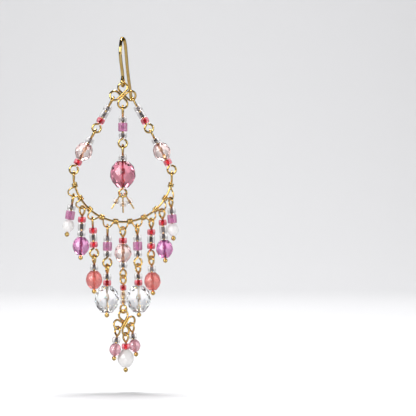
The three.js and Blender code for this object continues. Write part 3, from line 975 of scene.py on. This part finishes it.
@dataclass
class Clover:
    """One wire bent into four round lobes, whose straights cross in the middle."""

    name: str
    contacts: dict[str, float]
    turn: float = 0.0
    roll: float = 0.0
    radius: float = 1.1
    crossing: float = 0.28
    step: float = 0.09
    soft: float = 0.4

    @property
    def offset(self) -> float:
        """From the clover's middle to each lobe's."""
        return (self.radius + self.crossing) * math.sqrt(2)

    def depth(self, facing: int, direction: np.ndarray | float) -> np.ndarray | float:
        """How far back the wire lies at a direction of a lobe: half a cosine wave round the lobe."""
        depth = (LINK_WIRE + CROSS_GAP) / 2 * np.cos(np.radians((direction - facing + LOBE_HALF) * 2 / 3))
        return depth if facing % 180 == 0 else -depth

    def stations(self) -> np.ndarray:
        """The wire round all four lobes; its ends meet in the last straight.

        Returns:
            Stations about the clover's middle, one row each.
        """
        rounds = []
        for facing in LOBES.values():
            direction = np.linspace(facing - LOBE_HALF, facing + LOBE_HALF, LOBE_STEPS)
            lobe = on_circle(self.radius, direction) + on_circle(self.offset, float(facing))
            lobe[:, 1] = self.depth(facing, direction)
            rounds.append(lobe)
        line = np.concatenate(rounds)
        meeting = (line[0] + line[-1]) / 2
        along = (line[0] - line[-1]) * END_GAP / 2 / np.linalg.norm(line[0] - line[-1])
        return np.concatenate([[meeting + along], line, [meeting - along]])

    def hang(self, support: Support) -> dict[str, Support]:
        """Makes the clover where its top lobe hangs in a support.

        Args:
            support: The round of wire that it hangs in.

        Returns:
            Its other lobes as supports, by their side.
        """
        grip = (support.wire + LINK_WIRE) / 2 + WIRE_GAP
        top = support.middle - [0.0, 0.0, support.radius - grip + self.radius]
        middle = on_circle(self.offset, self.roll - 90.0)

        def placed(points: np.ndarray) -> np.ndarray:
            """Points rolled in the clover's plane, turned, and moved to where it hangs."""
            return turned_about_z(turned_about_y(points, -self.roll) + middle, self.turn) + top

        wire = wire_surface(placed(evened(self.stations(), self.step, self.soft)), LINK_WIRE / 2)
        dress(wire, f"{self.name}_wire", Palette.GOLD, "chandelier", self.name)
        lobes = {}
        for side, contact in self.contacts.items():
            facing = LOBES[side]
            point = on_circle(self.offset, float(facing))
            point[1] = self.depth(facing, (270 if facing > 90 else -90) + contact - self.roll)
            lobes[side] = Support(placed(point), self.radius, LINK_WIRE, self.turn)
        return lobes


@dataclass
class Drop:
    """One drop: its open loop's depth and direction, its leans, and the turns of its own loops."""

    name: str
    reach: float
    out: float
    lean: float
    turn: float
    upper: tuple[Beads, ...] = ()
    lower: tuple[Beads, ...] = ()
    tip: float = 0.0
    join: float = 0.0
    end: float = 0.0

    def upper_link(self, name: str) -> Strand:
        """The link that hangs in the open loop."""
        return Strand(name, self.upper, Loops.LONG, self.turn, self.lean, Loops.ROUND, self.join)

    def hang(self, support: Support) -> None:
        """Makes the drop's link, if it has one, and its pin.

        Args:
            support: The place in the open loop that it hangs in.
        """
        if not self.upper:
            Strand(f"{self.name}_pin", self.lower, Loops.LONG, self.turn, self.lean).hang(support)
            return
        foot = self.upper_link(f"{self.name}_link").hang(support)
        Strand(f"{self.name}_pin", self.lower, Loops.ROUND, self.end, self.tip).hang(foot)


@dataclass
class CentreDrop(Drop):
    """The middle drop: two links, a second clover, and three pins on its lobes."""

    clover_turn: float = 38.0
    clover_roll: float = 10.0
    spread: float = 12.0
    slopes: tuple[float, float, float] = (-7.0, 0.0, 9.5)

    def hang(self, support: Support) -> None:
        """Makes the links, the clover and its pins.

        Args:
            support: The place in the open loop that it hangs in.
        """
        across = self.clover_turn - 90
        lower = Strand("centre_lower_link", self.lower, Loops.ROUND, self.end, self.tip, Loops.SMALL, across)
        foot = lower.hang(self.upper_link("centre_upper_link").hang(support))
        contacts = {"left": -self.spread, "bottom": 0.0, "right": self.spread}
        lobes = Clover("clover_lower", contacts, self.clover_turn, self.clover_roll).hang(foot)
        light = (Beads.CLEAR, Beads.LAVENDER)
        rows = (light, (Beads.RED, Beads.WHITE), light)
        for (side, contact), beads, slope in zip(contacts.items(), rows, self.slopes):
            name = f"lower_{side}_pin"
            pin = Strand(name, beads, Loops.LONG, -self.clover_turn, slope, contact=contact)
            pin.hang(lobes[side])


WHITE_DROP = (Beads.CLEAR, Beads.MAUVE, Beads.WHITE_SMALL)
PURPLE_DROP = (Beads.RED, Beads.BUGLE, Beads.CLEAR, Beads.PURPLE)
CORAL_LINK = (Beads.RED, Beads.BUGLE, Beads.RED)
CORAL_PIN = (Beads.CLEAR, Beads.CORAL)
CRYSTAL_LINK = (Beads.CLEAR, Beads.MAUVE, Beads.CLEAR)
CRYSTAL_PIN = (Beads.CLEAR, Beads.RED, Beads.CRYSTAL)

DROPS = (
    Drop("white_left", 2.15, -80, -9.5, -10, lower=WHITE_DROP),
    Drop("purple_left", 2.0, -75, -2, -40, lower=PURPLE_DROP),
    Drop("coral_left", 1.9, -50, 2.8, -5, CORAL_LINK, CORAL_PIN, 0, 78, -20),
    Drop("crystal_left", 1.88, -15, -0.5, 0, CRYSTAL_LINK, CRYSTAL_PIN, -0.5, 80, -18),
    CentreDrop("centre", 1.86, 0, 0.5, -40, (Beads.RED, Beads.PINK, Beads.CLEAR),
               (Beads.SLIM_RED, Beads.SLIM_BUGLE, Beads.SLIM), 0.2, 40, -42),
    Drop("crystal_right", 1.75, 9, 1.5, -20, CRYSTAL_LINK, CRYSTAL_PIN, 1, 58, -35),
    Drop("coral_right", 1.8, 26, -0.5, -30, CORAL_LINK, CORAL_PIN, 3, 45, -35),
    Drop("purple_right", 1.7, 30, 4, -40, lower=PURPLE_DROP),
    Drop("white_right", 1.9, 35, 4, -25, lower=WHITE_DROP),
)


# Places along an open loop among which its lowest point is looked for
LOOP_MIDDLE = np.arange(20, 81) / 100


@dataclass
class Crescent:
    """The frame, an arc with an eye at each end, and the thin wire wrapped round it."""

    radius: float = 11.85
    neck: float = 79.5
    arc_steps: int = 160
    coil_end: float = 75.0
    coil_turns: float = 2.5
    coil_pitch: float = 0.42
    coil_steps: int = 70
    loop_steps: int = 40
    wrap_sides: int = 10
    step: float = 0.1
    frame_soft: float = 0.5
    wrap_soft: float = 0.2

    @property
    def span(self) -> float:
        """From the middle to each eye."""
        return self.radius * math.sin(math.radians(self.neck))

    @property
    def coil_radius(self) -> float:
        """From the frame's middle line to the wrapped wire's."""
        return (FRAME_WIRE + WRAP_WIRE) / 2 + WRAP_GAP

    @property
    def coil_half(self) -> float:
        """Half the angle of the arc that a coil covers."""
        return math.degrees(self.coil_turns * self.coil_pitch / 2 / self.radius)

    def coil_place(self, index: int) -> float:
        """The direction of a coil's middle, from the left."""
        return 2 * self.coil_end / len(DROPS) * index - self.coil_end

    def frame_path(self) -> np.ndarray:
        """The frame's middle line, from eye to eye, about the arc's middle.

        Returns:
            Stations, one row each.
        """
        low = -self.radius * math.cos(math.radians(self.neck))
        loop = Loops.LONG.value.stations(FRAME_WIRE, low, 0.0, True)[1:]
        arc = on_circle(self.radius, np.linspace(-self.neck, self.neck, self.arc_steps) - 90)
        shift = np.array([self.span, 0.0, 0.0])
        return np.concatenate([(loop - shift)[::-1], arc, loop + shift])

    def coil(self, angle: float) -> np.ndarray:
        """A coil: a helix about the arc, from the frame's back to its front.

        Args:
            angle: The direction of its middle.

        Returns:
            Stations, one row each.
        """
        share = np.linspace(0, 1, self.coil_steps)
        turn = np.pi / 2 + 2 * np.pi * self.coil_turns * share
        at = np.radians(angle + self.coil_half * (2 * share - 1))
        out = self.radius + self.coil_radius * np.cos(turn)
        return np.stack([out * np.sin(at), self.coil_radius * np.sin(turn), -out * np.cos(at)], axis=1)

    def open_loop(self, index: int, drop: Drop, share: np.ndarray) -> np.ndarray:
        """Points of the open loop between two coils.

        Both ends start at the coils and pull the drop's way: the ends and the pulled ends are
        weighted by the cubes and thrice the products of the share and its rest. So the middle
        reaches three quarters of the pull.

        Args:
            index: The loop's number from the left.
            drop: The drop that hangs in it.
            share: Places along the loop, from 0 to 1.

        Returns:
            Points, one row each.
        """
        start = self.radius * hanging(self.coil_place(index) + self.coil_half)
        finish = self.radius * hanging(self.coil_place(index + 1) - self.coil_half)
        pull = hanging(drop.out) * drop.reach / 0.75
        t = share[:, None]
        points = (1 - t) ** 3 * start + 3 * (1 - t) ** 2 * t * (start + pull)
        points = points + 3 * (1 - t) * t**2 * (finish + pull) + t**3 * finish
        points[:, 1] = -self.coil_radius * np.cos(np.pi * share)
        return points

    def wrap_path(self) -> np.ndarray:
        """The wrapped wire's middle line: all coils and open loops in turn.

        Returns:
            Stations, one row each.
        """
        inner = np.linspace(0, 1, self.loop_steps)[1:-1]
        parts = []
        for i, drop in enumerate(DROPS):
            parts += [self.coil(self.coil_place(i)), self.open_loop(i, drop, inner)]
        return np.concatenate([*parts, self.coil(self.coil_end)])

    def build(self, left: Support, right: Support) -> list[Support]:
        """Makes the frame and the wrapped wire between the two chains' ends.

        Args:
            left: The left chain's last loop.
            right: The right chain's last loop.

        Returns:
            The lowest place of each open loop, as a support.
        """
        eye = Loops.LONG.value
        grip = (LINK_WIRE + FRAME_WIRE) / 2 + WIRE_GAP
        height = left.middle[2] - (left.radius - grip) - eye.radius - eye.rise
        height += self.radius * math.cos(math.radians(self.neck))
        across = right.middle - left.middle
        turn = math.degrees(math.atan2(across[1], across[0]))

        def placed(points: np.ndarray) -> np.ndarray:
            """Points turned with the chains' ends and moved to the arc's middle."""
            return turned_about_z(points, turn) + [0.0, 0.0, height]

        frame_path = placed(evened(self.frame_path(), self.step, self.frame_soft))
        frame_wire = wire_surface(frame_path, FRAME_WIRE / 2)
        dress(frame_wire, "crescent_wire", Palette.GOLD, "chandelier", "frame_wire")
        wrap_path = placed(evened(self.wrap_path(), self.step, self.wrap_soft))
        wrap_wire = wire_surface(wrap_path, WRAP_WIRE / 2, self.wrap_sides)
        dress(wrap_wire, "crescent_wrap", Palette.GOLD, "chandelier", "wrap_wire")
        supports = []
        for i, drop in enumerate(DROPS):
            points = self.open_loop(i, drop, LOOP_MIDDLE)
            supports.append(Support(placed(points[np.argmin(points[:, 2])]), 0.0, WRAP_WIRE))
        return supports


@dataclass
class SideChain:
    """Two links from the clover's lobe to the frame's eye."""

    side: str
    span: float

    def hang(self, lobe: Support) -> Support:
        """Makes both links, straight from the lobe to the eye.

        Args:
            lobe: The clover's lobe.

        Returns:
            The last loop, as a support.
        """
        sign = -1 if self.side == "left" else 1
        beads = (Beads.CLEAR, Beads.BUGLE, Beads.RED), (Beads.CLEAR, Beads.PINK, Beads.RED)
        names = f"side_upper_{self.side}_link", f"side_lower_{self.side}_link"
        links = [
            Strand(name, row, Loops.ROUND, 0.0, 0.0, Loops.ROUND, 90.0) for name, row in zip(names, beads)
        ]
        grip = LINK_WIRE + WIRE_GAP
        run = lobe.radius - grip + 3 * Loops.ROUND.value.radius - grip + sum(link.length() for link in links)
        slope = math.degrees(math.asin((self.span - abs(lobe.middle[0])) / run))
        support = lobe
        for link in links:
            link.lean = sign * slope
            support = link.hang(support)
        return support


@dataclass
class Pendant:
    """The pendant inside the crescent, with three tiny pins splayed under it."""

    spread: float = 80.0
    lean: float = 32.0
    centre_lean: float = 1.0
    tail: float = 1.4

    def hang(self, lobe: Support) -> None:
        """Makes the two links and the tiny pins.

        Args:
            lobe: The clover's lobe.
        """
        mauve = (Beads.CLEAR, Beads.MAUVE, Beads.CLEAR)
        upper = Strand("pendant_upper_link", mauve, Loops.LONG, 0.0, 0.0, Loops.ROUND, 90.0)
        rose = (Beads.CLEAR, Beads.ROSE)
        lower = Strand("pendant_lower_link", rose, Loops.ROUND, 0.0, 0.0, Loops.SMALL, 90.0)
        foot = lower.hang(upper.hang(lobe))
        for side, sign in (("left", -1), ("centre", 0), ("right", 1)):
            lean = sign * self.lean if sign else self.centre_lean
            pin = Strand(f"tiny_{side}_pin", (Beads.SLIM,), Loops.TINY, 0.0, lean,
                         contact=sign * self.spread, wire=TINY_WIRE, tail=self.tail)
            pin.hang(foot)


@dataclass(frozen=True)
class Lamp:
    """A soft rectangular light: where it stands, what it faces, its width and height, and its watts."""

    name: str
    place: tuple[float, float, float]
    aim: tuple[float, float, float]
    size: tuple[float, float]
    power: float

    def build(self) -> None:
        """Makes the light, tilted and then turned about Z to face its aim."""
        lamp = bpy.data.lights.new(self.name, "AREA")
        lamp.shape = "RECTANGLE"
        lamp.size, lamp.size_y = self.size[0] * MM, self.size[1] * MM
        lamp.energy = self.power
        made = bpy.data.objects.new(self.name, lamp)
        made.location = np.array(self.place) * MM
        x, y, z = np.subtract(self.aim, self.place)
        made.rotation_euler = (math.atan2(math.hypot(x, y), -z), 0.0, math.atan2(y, x) - math.pi / 2)
        bpy.context.scene.collection.objects.link(made)


@dataclass
class Studio:
    """The camera at the photograph's view, a pale sweep, soft lights and plain surroundings.

    The surroundings' strengths are in front, behind, in polished surfaces and to the camera.
    """

    floor: float = -84.0
    half_width: float = 500.0
    front: float = -500.0
    back: float = 720.0
    curve: float = 220.0
    curve_steps: int = 24
    height: float = 900.0
    sensor: float = 36.0
    paper_tone: Colour = (0.7, 0.7, 0.71)
    mirrored_tone: Colour = (0.32, 0.32, 0.32)
    paper_rough: float = 0.9
    paper_gloss: float = 0.1
    strengths: tuple[float, float, float, float] = (0.07, 0.68, 0.03, 0.8)
    lamps: tuple[Lamp, ...] = (
        Lamp("key", (-300, -430, 160), (0, 0, -40), (240, 240), 1.6),
        Lamp("fill", (450, -300, 60), (0, 0, -40), (160, 400), 1.0),
        Lamp("top", (0, 60, 420), (0, 60, -80), (120, 100), 2.0),
        Lamp("backdrop", (0, 400, 380), (0, 490, -84), (600, 120), 1.45),
    )

    def camera(self) -> None:
        """Makes the camera: level, looking along +Y at the photograph's middle."""
        view = bpy.data.cameras.new("photo_view")
        view.sensor_width = self.sensor
        view.lens = self.sensor * CAMERA_BACK / (PHOTO_SIDE / PX_PER_MM)
        view.clip_start, view.clip_end = 0.01, 10.0
        camera = bpy.data.objects.new("photo_view", view)
        right = (PHOTO_SIDE / 2 - PHOTO_ORIGIN[0]) / PX_PER_MM
        up = (PHOTO_ORIGIN[1] - PHOTO_SIDE / 2) / PX_PER_MM
        camera.location = (right * MM, -CAMERA_BACK * MM, up * MM)
        camera.rotation_euler = (math.radians(90), 0.0, 0.0)
        bpy.context.scene.collection.objects.link(camera)
        bpy.context.scene.camera = camera

    def mirrored(self, tree: bpy.types.NodeTree) -> bpy.types.NodeSocket:
        """A value that is one where a polished surface mirrors the studio, and not through glass.

        Args:
            tree: The material's or world's nodes.

        Returns:
            The value's socket.
        """
        seen = tree.nodes.new("ShaderNodeLightPath")
        only = tree.nodes.new("ShaderNodeMath")
        only.operation = "SUBTRACT"
        only.use_clamp = True
        tree.links.new(seen.outputs["Is Glossy Ray"], only.inputs[0])
        tree.links.new(seen.outputs["Is Transmission Ray"], only.inputs[1])
        return only.outputs["Value"]

    def paper(self) -> bpy.types.Material:
        """The sweep's matt paper, which is darker where polished surfaces mirror it.

        Returns:
            The new material.
        """
        material = bpy.data.materials.new("paper")
        material.use_nodes = True
        tree = material.node_tree
        shader = tree.nodes["Principled BSDF"]
        plain, dark, tone = colour_mix(tree, self.mirrored(tree))
        plain.default_value = (*self.paper_tone, 1.0)
        dark.default_value = (*self.mirrored_tone, 1.0)
        tree.links.new(tone, shader.inputs["Base Color"])
        shader.inputs["Roughness"].default_value = self.paper_rough
        shader.inputs["Specular IOR Level"].default_value = self.paper_gloss
        return material

    def sweep(self) -> None:
        """Makes the floor, which curves up behind the earring into a wall by a quarter circle."""
        angle = np.linspace(0, np.pi / 2, self.curve_steps)
        bend = self.back - self.curve + self.curve * np.sin(angle)
        depth = np.concatenate([[self.front], bend, [self.back]])
        rise = np.concatenate([[0.0], self.curve * (1 - np.cos(angle)), [self.height]])
        x, y = np.meshgrid([-self.half_width, self.half_width], depth)
        z = np.repeat(self.floor + rise[:, None], 2, axis=1)
        row = np.arange(len(depth) - 1) * 2
        faces = np.stack([row, row + 1, row + 3, row + 2], axis=1).tolist()
        sweep = new_object("sweep", np.stack([x, y, z], axis=-1).reshape(-1, 3), faces)
        sweep.data.polygons.foreach_set("use_smooth", np.full(len(faces), True))
        sweep.data.materials.append(self.paper())

    def surroundings(self) -> None:
        """Makes the surroundings, whose strength rises from the front to the back."""
        world = bpy.data.worlds.new("surroundings")
        world.use_nodes = True
        nodes, links = world.node_tree.nodes, world.node_tree.links
        front, behind, mirrored, seen = self.strengths
        place = nodes.new("ShaderNodeTexCoord")
        parts = nodes.new("ShaderNodeSeparateXYZ")
        spread = nodes.new("ShaderNodeMapRange")
        ends = {"From Min": -0.7, "From Max": 0.3, "To Min": front, "To Max": behind}
        for label, value in ends.items():
            spread.inputs[label].default_value = value
        links.new(place.outputs["Generated"], parts.inputs["Vector"])
        links.new(parts.outputs["Y"], spread.inputs["Value"])
        rays = nodes.new("ShaderNodeLightPath")
        source = spread.outputs["Result"]
        shares = self.mirrored(world.node_tree), rays.outputs["Is Camera Ray"]
        for share, strength in zip(shares, (mirrored, seen)):
            blend = nodes.new("ShaderNodeMix")
            blend.inputs["B"].default_value = strength
            links.new(share, blend.inputs["Factor"])
            links.new(source, blend.inputs["A"])
            source = blend.outputs["Result"]
        links.new(source, nodes["Background"].inputs["Strength"])
        nodes["Background"].inputs["Color"].default_value = (0.99, 0.99, 1.0, 1.0)
        bpy.context.scene.world = world

    def build(self) -> None:
        """Makes the sweep, the lights and the surroundings."""
        self.sweep()
        for lamp in self.lamps:
            lamp.build()
        bpy.context.scene.view_settings.view_transform = "Standard"
        self.surroundings()


def main() -> None:
    """Builds the earring from its ear wire down, then the studio."""
    logging.basicConfig(level=logging.INFO)
    studio = Studio()
    studio.camera()
    ring = EarWire().build()
    lobes = Clover("clover_top", {"left": -27.0, "bottom": 0.0, "right": 27.0}).hang(ring)
    crescent = Crescent()
    ends = {side: SideChain(side, crescent.span).hang(lobes[side]) for side in ("left", "right")}
    Pendant().hang(lobes["bottom"])
    supports = crescent.build(ends["left"], ends["right"])
    for drop, support in zip(DROPS, supports):
        drop.hang(support)
    studio.build()


if __name__ == "__main__":
    main()
